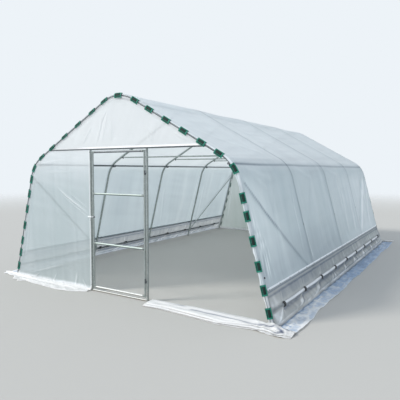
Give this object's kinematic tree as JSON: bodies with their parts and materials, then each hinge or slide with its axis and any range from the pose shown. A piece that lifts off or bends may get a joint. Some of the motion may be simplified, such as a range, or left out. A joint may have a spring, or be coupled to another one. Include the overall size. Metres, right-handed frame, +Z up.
{
  "type": "polytunnel greenhouse",
  "caption": "Walk-in polytunnel greenhouse: bent steel tube arches under a translucent plastic film with snap clips, and a framed hinged front door beside an open bay.",
  "frame": {"origin": "centre of the footprint on the ground", "axes": "front end with the door faces -Y, +X to the right seen from the front, +Y along the tunnel, +Z up"},
  "size_m": [4.47, 6.5, 2.4329],
  "materials": {
    "galvanised_tube": "hot dip galvanised, satin with faint spangle",
    "door_tube": "galvanised, satin",
    "rail": "pale, satin",
    "fittings": "zinc plated",
    "film": "translucent polyethylene film, soft sheen",
    "green_clips": "moulded, matte",
    "black_clips": "moulded, matte",
    "dark_knob": "moulded, matte"
  },
  "bodies": {
    "tunnel": {"arch_2": "galvanised_tube", "arch_3": "galvanised_tube", "arch_4": "galvanised_tube", "cross_ties": "galvanised_tube", "door_sill": "door_tube", "dropped_front_film": "film", "front_arch": "galvanised_tube", "front_film_clips": "green_clips", "front_gable_film": "film", "front_header": "galvanised_tube", "front_left_film": "film", "front_left_post": "galvanised_tube", "front_left_skirt": "film", "front_right_post": "galvanised_tube", "hinge_pins": "fittings", "left_braces": "galvanised_tube", "left_eave_film": "film", "left_eave_purlin": "galvanised_tube", "left_lower_tube": "galvanised_tube", "left_roll_film": "film", "left_roof_film": "film", "left_side_rail": "rail", "left_wall_film": "film", "rear_arch": "galvanised_tube", "rear_end_film": "film", "rear_film_clips": "green_clips", "rear_header": "galvanised_tube", "rear_left_post": "galvanised_tube", "rear_right_post": "galvanised_tube", "rear_skirt": "film", "ridge_film": "film", "ridge_purlin": "galvanised_tube", "right_braces": "galvanised_tube", "right_eave_film": "film", "right_eave_purlin": "galvanised_tube", "right_lower_tube": "galvanised_tube", "right_roll_film": "film", "right_roof_film": "film", "right_side_rail": "rail", "right_wall_film": "film", "tube_clips": "black_clips"},
    "door": {"door_hinge_stile": "door_tube", "door_latch_stile": "door_tube", "door_bottom_rail": "door_tube", "door_lower_rail": "door_tube", "door_upper_rail": "door_tube", "door_top_rail": "door_tube", "hinge_eyes": "fittings", "latch_pin": "fittings"},
    "latch": {"latch_bar": "fittings", "latch_knob": "dark_knob"}
  },
  "joints": [
    {"name": "door_swing", "type": "hinge", "parent": "tunnel", "child": "door", "pos_m": [0.407, -3.02, 0.9], "axis": [0, 0, 1], "range_deg": [0, 110]},
    {"name": "latch_turn", "type": "hinge", "parent": "door", "child": "latch", "pos_m": [-0.436, -3.022, 0.945], "axis": [0, 1, 0], "range_deg": [0, 90]}
  ]
}
